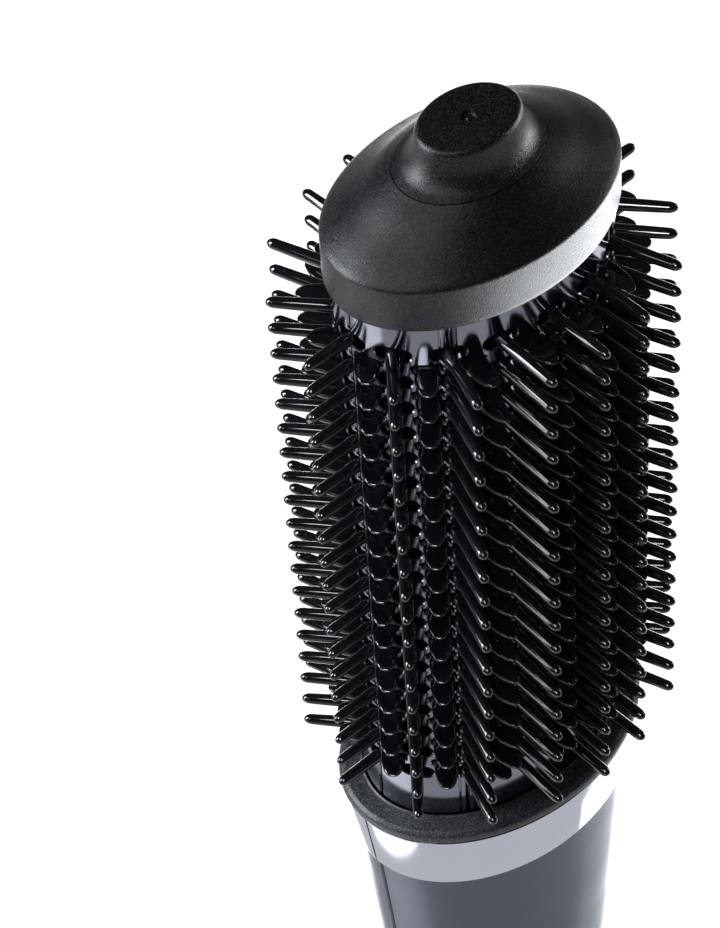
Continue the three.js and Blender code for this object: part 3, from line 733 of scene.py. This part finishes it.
def make_collar():
    a, b, top = collar_high
    low, side = collar_low[2], top - 3.35
    foot_a, foot_b = HEAD_A + 0.25, HEAD_B + 0.25
    outside = [
        (foot_a, foot_b, top - 1.5),
        (foot_a, foot_b, top),
        (foot_a + 0.3, foot_b + 0.3, top - 0.35),
        (foot_a + 1.1, foot_b + 1.1, top - 0.5),
        (a - 1.0, b - 1.0, top - 0.45),
        (a - 0.1, b - 0.1, top - 1.2),
        (a, b, side + 0.75),
        (a - 0.5, b - 0.5, side + 0.05),
        (a - 1.2, b - 1.2, side),
    ]
    inside = [
        (a - 3, b - 2.6, side),
        (a - 3, b - 2.6, side - 1.3),
        (a - 6.2, b - 5.6, side - 1.3),
        (a - 6.2, b - 5.6, low),
        (a - 7.7, b - 7.1, low),
        (a - 7.7, b - 7.1, top - 3.2),
        (foot_a, foot_b, top - 3.2),
    ]
    shape = Shape()
    shape.loft(oval_rings(soften(outside, 0.5) + inside), closed=True)
    piece = new_piece("collar", shape, "collar", COLLAR_SHARP_ANGLE)
    place(piece, "handle", "textured_plastic", "collar")


def open_oval(a, b, z, gap):
    """An oval line with a gap of that half width at the -X end, from just behind it round."""
    gap_turn = math.asin(gap / b)
    t = np.linspace(math.pi + gap_turn, 3 * math.pi - gap_turn, OVAL_SIDES)
    return np.stack([a * np.cos(t), b * np.sin(t), np.full(OVAL_SIDES, float(z))], axis=-1)


def make_band():
    """A flared strip, bent round, whose two ends leave a thin seam."""
    a, b, high = band_high
    low = band_low[2]
    low_a, low_b = a - 1.8, b - 1.4
    outer = [
        (low_a - 0.9, low_b - 0.9, low),
        (low_a - 0.08, low_b - 0.08, low),
        (a, b, high),
        (a - 0.9, b - 0.9, high),
    ]
    inner = [(a - 1, b - 1, high - 0.1), (low_a - 1, low_b - 1, low + 0.1)]
    loop = soften(outer, 0.22) + inner
    lines = np.array([open_oval(*point, BAND_SEAM) for point in loop])
    shape = Shape()
    shape.loft(lines.swapaxes(0, 1))
    piece = new_piece("trim_band", shape, "band", BAND_SHARP_ANGLE)
    place(piece, "handle", "polished_band", "trim_band")


# ---- handle shell: its outside from the band down, as (half width, half depth, height) ----
SHELL_PROFILE = [
    (27.9, 20.1, 94.9),
    (25.6, 19.4, 70),
    (21.9, 18.5, 25),
    (20, 18.2, -25),
    (19.6, 18.2, -68),
]
SHELL_WALL = 2.2
SHELL_SEAM = 0.2
SHELL_BEVEL = 0.3
SHELL_SIDES = 72
SHELL_SHARP_ANGLE = 30
NECK_DROP = (0.7, 0.8)


def shell_levels():
    """The shell's outside from its foot up, with a lip and the neck that the band covers."""
    smooth = curve_through(SHELL_PROFILE[::-1], 8)
    a, b, z = SHELL_PROFILE[0]
    neck_a, neck_b = a - NECK_DROP[0], b - NECK_DROP[1]
    top = [
        (a + 0.02, b + 0.02, z - 0.5),
        (a - 0.25, b - 0.25, z),
        (neck_a, neck_b, z + 0.05),
        (neck_a, neck_b, shell_high[2]),
    ]
    return np.array([p for p in smooth[:-1] if p[2] < z - 0.6] + top)


SHELL_LEVELS = shell_levels()


def surface_x(z):
    """Half width of the handle at a height."""
    return float(np.interp(z, SHELL_LEVELS[:, 2], SHELL_LEVELS[:, 0]))


def surface_y(z):
    """Half depth of the handle at a height."""
    return float(np.interp(z, SHELL_LEVELS[:, 2], SHELL_LEVELS[:, 1]))


def half_line(a, b, z, side):
    """Half an oval in front of or behind the XZ plane, with a small bevel beside the seam."""
    t0 = math.asin(SHELL_SEAM / b)
    t1 = math.asin((SHELL_SEAM + SHELL_BEVEL) / b)
    t = np.concatenate([[t0], np.linspace(t1, math.pi - t1, SHELL_SIDES), [math.pi - t0]])
    inset = np.zeros(len(t))
    inset[[0, -1]] = SHELL_BEVEL
    x = (a - inset) * np.cos(t)
    y = side * (b - inset) * np.sin(t)
    return np.stack([x, y, np.full(len(t), float(z))], axis=-1)


def make_shell(name, side):
    rings = []
    for a, b, z in SHELL_LEVELS:
        outer = half_line(a, b, z, side)
        inner = half_line(a - SHELL_WALL, b - SHELL_WALL, z, side)[::-1]
        rings.append(np.concatenate([outer, inner]))
    shape = Shape()
    shape.loft(rings)
    piece = new_piece(name, shape, "shell", SHELL_SHARP_ANGLE)
    place(piece, "handle", "shell_paint", name)
    return piece


# ---- buttons and light pipe: profiles are (radius, distance in front of the XZ plane) ----
BUTTON_BEADS = {"power_button": 1, "temperature_button": 3, "cool_shot_button": 2}
BEAD_PITCH = 1.5
BUTTON_HOLE_R = 5.25
LENS_HOLE_R = 1.6
HOLE_BACK = 13
SCREW_HOLE_R = 2.75
SCREW_CORNERS = ["top_left", "top_right", "low_left", "low_right"]


def front_hole(shape, z, radius, bevel, sides):
    """A round cutter through the front wall with a flared mouth."""
    face, wide = surface_y(z), radius + bevel
    profile = [(radius, HOLE_BACK), (radius, face - bevel), (wide, face + 0.02), (wide, face + 4)]
    turn_forward(shape, profile, sides, 0, z)


def cut_front_shell(piece):
    holes = Shape()
    for name in BUTTON_BEADS:
        front_hole(holes, mid_height(name), BUTTON_HOLE_R, 0.35, 48)
    front_hole(holes, mid_height("status_lens"), LENS_HOLE_R, 0.2, 32)
    cut(piece, holes, SHELL_SHARP_ANGLE)


def cut_rear_shell(piece):
    """A countersunk hole for each shell screw."""
    holes = Shape()
    for corner in SCREW_CORNERS:
        low, high = mm_box("shell_screw_" + corner)
        x, z = (low[0] + high[0]) / 2, (low[2] + high[2]) / 2
        y = surface_y(z) * math.sqrt(1 - (x / surface_x(z)) ** 2)
        profile = [(SCREW_HOLE_R, -high[1] + 0.2), (SCREW_HOLE_R, -y)]
        profile += [(SCREW_HOLE_R + 0.35, -y - 0.4), (SCREW_HOLE_R + 0.65, -y - 5)]
        turn_forward(holes, profile, 40, x, z)
    cut(piece, holes, SHELL_SHARP_ANGLE)


def make_button(name, beads):
    """A dished push button with a flange behind the wall, told by the number of its beads."""
    z = mid_height(name)
    face = -mm_box(name)[0][1]
    flange = [(0.05, 11.9), (1.6, 11.9), (1.6, 13.6), (6.2, 13.6), (6.2, 14.6)]
    rim = soften([(5.0, 14.6), (5.0, face - 0.1), (4.3, face), (3.2, face - 0.3)], 0.45, 6)
    dish = [(2.2, face - 0.48), (1.1, face - 0.56), (0.05, face - 0.58)]
    bead = [(0.42, face - 0.8), (0.42, face - 0.42), (0.3, face - 0.33), (0.05, face - 0.3)]
    shape = Shape()
    turn_forward(shape, flange + rim + dish, 56, 0, z)
    for k in range(beads):
        turn_forward(shape, bead, 20, (k - (beads - 1) / 2) * BEAD_PITCH, z)
    place(new_piece(name, shape, "button"), name, "button_plastic", name)


def make_lens():
    z = mid_height("status_lens")
    face = surface_y(z) + 0.05
    base = [(0.05, 12), (2.4, 12), (2.4, 13), (1.45, 13)]
    end = [(1.45, 13.1), (1.45, face - 0.1), (0.8, face + 0.02), (0.05, face + 0.03)]
    shape = Shape()
    turn_forward(shape, base + soften(end, 0.4), 32, 0, z)
    place(new_piece("status_lens", shape, "lens"), "handle", "lens_clear", "status_lens")


# ---- tail ----
COVER_SIDES = 120
COVER_SLOTS = 28
COVER_SLOT_MIDDLE = 17
COVER_SLOT_HALF = 0.75
COVER_SLOT_REACH = 7.4
COVER_SLOT_DEPTHS = (-2.5, 3.5)
COVER_SHARP_ANGLE = 35
GLAND_SIDES = 64
SCREEN_WIRES = 72
SCREEN_HOOPS = 23
SCREEN_EDGE = 1.4
SCREEN_SIDES = 96
WIRE_R = 0.13
WIRE_SIDES = 6
WEAVE = 0.14


def cover_slots(a, b, low):
    """The cutters of the upright air slots round the filter cover."""
    slots = Shape()
    turn = np.linspace(0, math.pi, 7)
    half, reach = COVER_SLOT_HALF, COVER_SLOT_REACH
    ring_u = np.concatenate([half * np.cos(turn), -half * np.cos(turn)])
    ring_z = np.concatenate([reach + half * np.sin(turn), -reach - half * np.sin(turn)])
    ring_z = ring_z + low + COVER_SLOT_MIDDLE
    for i in range(COVER_SLOTS):
        t = 2 * math.pi * (i + 0.5) / COVER_SLOTS
        out = np.array([math.cos(t) / a, math.sin(t) / b, 0])
        out /= np.linalg.norm(out)
        across = np.array([-out[1], out[0], 0])
        middle = np.array([(a - 1.5) * math.cos(t), (b - 1.5) * math.sin(t), 0])
        face = ring_u[:, None] * across + ring_z[:, None] * UP
        slots.loft([middle + out * depth + face for depth in COVER_SLOT_DEPTHS])
    return slots


def make_cover():
    a, b, top = cover_high
    low = cover_low[2]
    outer = [
        (7.2, 7.2, low),
        (a - 3.8, b - 3.4, low),
        (a - 2.2, b - 1.9, low + 1.3),
        (a - 0.6, b - 0.4, low + 12),
        (a, b, top - 0.3),
        (a - 0.3, b - 0.3, top),
    ]
    inner = [
        (a - 1.8, b - 1.8, top),
        (a - 2.4, b - 2.2, low + 12),
        (a - 4.1, b - 3.7, low + 2.4),
        (7.2, 7.2, low + 2.4),
    ]
    shape = Shape()
    shape.loft(oval_rings(soften(outer, 1.2) + inner, COVER_SIDES), closed=True)
    piece = new_piece("filter_cover", shape, "cap", COVER_SHARP_ANGLE)
    cut(piece, cover_slots(a, b, low), COVER_SHARP_ANGLE)
    place(piece, "filter_cover", "textured_plastic", "filter_cover")


def make_gland():
    low, high = (corner[2] for corner in mm_box("cord_gland"))
    profile = [
        (3.4, low),
        (5.9, low),
        (6.2, low + 0.4),
        (6.2, low + 10.1),
        (7, low + 10.1),
        (7, low + 12.1),
        (5.4, low + 12.1),
        (5.4, high),
        (3.4, high),
    ]
    shape = Shape()
    shape.loft(round_rings(profile, GLAND_SIDES), closed=True)
    piece = new_piece("cord_gland", shape, "rubber")
    place(piece, "cord_gland", "gland_rubber", "cord_gland")


def wire_ring(centre, out, other):
    """A round section of the screen's wire, across the plane of two directions."""
    t = np.arange(WIRE_SIDES) * math.pi / 3
    return centre + WIRE_R * (np.cos(t)[:, None] * out + np.sin(t)[:, None] * other)


def make_screen():
    """A woven wire tube with a plain edge at each end."""
    low, high = mm_box("inlet_screen")
    middle = high[0] - 0.35
    shape = Shape()
    for z in (low[2], high[2] - SCREEN_EDGE):
        edge = [(middle + 0.3, z), (middle + 0.3, z + SCREEN_EDGE)]
        edge += [(middle - 0.3, z + SCREEN_EDGE), (middle - 0.3, z)]
        shape.loft(round_rings(edge, SCREEN_SIDES), closed=True)
    first, last = low[2] + SCREEN_EDGE, high[2] - SCREEN_EDGE
    pitch = (last - first) / (SCREEN_HOOPS + 1)
    for i in range(SCREEN_WIRES):
        out, across = outward(2 * math.pi * i / SCREEN_WIRES)
        rings = []
        for k in np.arange(0, SCREEN_HOOPS + 1.25, 0.5):
            radius = middle + WEAVE * math.cos(math.pi * (i + k))
            rings.append(wire_ring(out * radius + UP * (first + k * pitch), out, across))
        shape.loft(rings)
    for k in range(1, SCREEN_HOOPS + 1):
        rings = []
        for m in range(2 * SCREEN_WIRES):
            out = outward(math.pi * m / SCREEN_WIRES)[0]
            radius = middle - WEAVE * math.cos(math.pi * (k + m / 2))
            rings.append(wire_ring(out * radius + UP * (first + k * pitch), out, UP))
        shape.loft(rings, closed=True)
    piece = new_piece("inlet_screen", shape, "screen")
    place(piece, "handle", "screen_mesh", "inlet_screen")


# ---- hidden pieces keep their CAD shape and get a real surface ----
CAD_LOOKS = {
    "inner": [
        "head_frame", "duct_ring", "motor_plate", "motor_mount", "tail_frame", "fan_wheel",
        "power_switch", "temperature_switch", "cool_shot_switch",
    ],
    "steel": [
        "tip_screw", "cap_screw_front", "cap_screw_rear", "motor_shaft", "motor_rotor",
        "motor_can", "gland_clip", "thermal_cutout",
        *("shell_screw_" + corner for corner in SCREW_CORNERS),
    ],
    "mica": ["heater_tube", "heater_boards"],
    "wire": ["heater_coil"],
    "board": ["circuit_board"],
}


def dress_cad_nodes():
    for look, names in CAD_LOOKS.items():
        for name in names:
            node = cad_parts[name]
            node.data.materials.clear()
            node.data.materials.append(LOOKS[look])


for i in range(len(PIN_COLUMNS)):
    make_strip(i)
for panel, start, end in zip(PANELS, JOINTS, JOINTS[1:]):
    make_skin("head_panel_" + panel, start, end)
make_cap()
make_tip()
make_collar()
make_band()
cut_front_shell(make_shell("shell_front", -1))
cut_rear_shell(make_shell("shell_rear", 1))
for name, beads in BUTTON_BEADS.items():
    make_button(name, beads)
make_lens()
make_cover()
make_gland()
make_screen()
dress_cad_nodes()

# ---- floor and light, in metres ----
FLOOR_REACH = 6.0
FLOOR_DROP = 0.04
FLOOR_GLOW = 0.95
SKY_LIGHT = 0.045
GROUND_LIGHT = 0.62
HORIZON = (-0.45, 0.1)
BACKGROUND_LIGHT = 1.06
WORLD_COLOUR = (0.95, 0.97, 1.0, 1)
LAMP_COLOUR = (0.92, 0.96, 1.0)
LAMP_AIM = Vector((0, 0, (HEAD_MID - 20) * MM))

# Each lamp is its name, its turn in degrees from the X axis, its rise in degrees above level, its
# distance, its size and its radiance.
LAMPS = [
    ("key_box", 205, 60, 1.1, (0.2, 0.2), 13),
    ("overhead_box", 178, 42, 1.1, (0.3, 0.3), 3),
    ("right_box", 350, 0, 0.9, (0.16, 0.4), 7),
    ("left_box", 138, 27, 1.0, (0.28, 0.6), 19),
    ("left_strip", 150, 12, 1.0, (0.16, 0.9), 8),
    ("low_left_box", 163, -49, 0.8, (0.45, 0.5), 1.1),
    ("low_right_box", 46, -46, 0.8, (0.5, 0.6), 4),
    ("floor_bounce_box", 12, -50, 0.8, (0.6, 0.5), 0.9),
    ("rim_box", 328, -48, 0.8, (0.95, 0.5), 8.5),
    ("bristle_box", 222, 44, 1.1, (0.22, 0.3), 24),
    ("tip_box", 345, 3, 0.9, (0.2, 0.4), 14),
]

# The CAD nodes whose fine pieces are the only ones that a lamp reaches.
LAMP_REACH = {
    "rim_box": ["end_cap"],
    "bristle_box": [strip_name(i) for i in range(len(PIN_COLUMNS))],
    "tip_box": ["cap_tip"],
}


def make_floor():
    """A white floor, low enough for the filter cover's pull, that only the camera sees. The light
    from below is the world's and the low lamps'."""
    mesh = bpy.data.meshes.new("floor")
    reach, z = FLOOR_REACH, cad_low[2] - FLOOR_DROP
    corners = [(-reach, -reach, z), (reach, -reach, z), (reach, reach, z), (-reach, reach, z)]
    mesh.from_pydata(corners, [], [[0, 1, 2, 3]])
    floor = bpy.data.objects.new("floor", mesh)
    bpy.context.scene.collection.objects.link(floor)
    floor.visible_glossy = False
    floor.visible_diffuse = False
    floor.visible_shadow = False
    material, _, _, shader = new_material("pale_floor")
    shader.inputs["Base Color"].default_value = (0.4, 0.4, 0.4, 1)
    shader.inputs["Roughness"].default_value = 0.9
    shader.inputs["Emission Color"].default_value = (1, 1, 1, 1)
    shader.inputs["Emission Strength"].default_value = FLOOR_GLOW
    mesh.materials.append(material)


def soft_box(name, turn, rise, distance, size, radiance):
    """A rectangle of light that faces the head."""
    azimuth, elevation = math.radians(turn), math.radians(rise)
    level = math.cos(elevation)
    out = Vector((level * math.cos(azimuth), level * math.sin(azimuth), math.sin(elevation)))
    light = bpy.data.lights.new(name, "AREA")
    light.shape = "RECTANGLE"
    light.size, light.size_y = size
    light.color = LAMP_COLOUR
    light.energy = radiance * math.pi * size[0] * size[1]
    lamp = bpy.data.objects.new(name, light)
    lamp.location = LAMP_AIM + out * distance
    lamp.rotation_euler = out.to_track_quat("Z", "Y").to_euler()
    lamp.visible_camera = False
    bpy.context.scene.collection.objects.link(lamp)
    return lamp


def light_only(lamp, nodes):
    """The lamp reaches only the fine pieces of these nodes, and only they can shade it."""
    group = bpy.data.collections.new(lamp.name + "_reach")
    for node in nodes:
        group.objects.link(bpy.data.objects[node + "_fine"])
    lamp.light_linking.receiver_collection = group
    lamp.light_linking.blocker_collection = group


def make_world():
    """White for the camera; for light and gloss a dim sky over a brighter ground."""
    world = bpy.data.worlds.new("studio")
    bpy.context.scene.world = world
    world.use_nodes = True
    nodes, links = world.node_tree.nodes, world.node_tree.links
    place = nodes.new("ShaderNodeTexCoord")
    split = nodes.new("ShaderNodeSeparateXYZ")
    links.new(place.outputs["Generated"], split.inputs[0])
    rise = nodes.new("ShaderNodeMapRange")
    rise.interpolation_type = "SMOOTHSTEP"
    rise.inputs["From Min"].default_value, rise.inputs["From Max"].default_value = HORIZON
    rise.inputs["To Min"].default_value = GROUND_LIGHT
    rise.inputs["To Max"].default_value = SKY_LIGHT
    links.new(split.outputs["Z"], rise.inputs["Value"])
    seen = nodes.new("ShaderNodeLightPath")
    choose = nodes.new("ShaderNodeMix")
    links.new(seen.outputs["Is Camera Ray"], choose.inputs["Factor"])
    links.new(rise.outputs["Result"], choose.inputs["A"])
    choose.inputs["B"].default_value = BACKGROUND_LIGHT
    links.new(choose.outputs["Result"], nodes["Background"].inputs["Strength"])
    nodes["Background"].inputs["Color"].default_value = WORLD_COLOUR


def make_light():
    make_world()
    for name, *where in LAMPS:
        lamp = soft_box(name, *where)
        if name in LAMP_REACH:
            light_only(lamp, LAMP_REACH[name])
    bpy.context.scene.view_settings.view_transform = "Standard"


make_floor()
make_light()
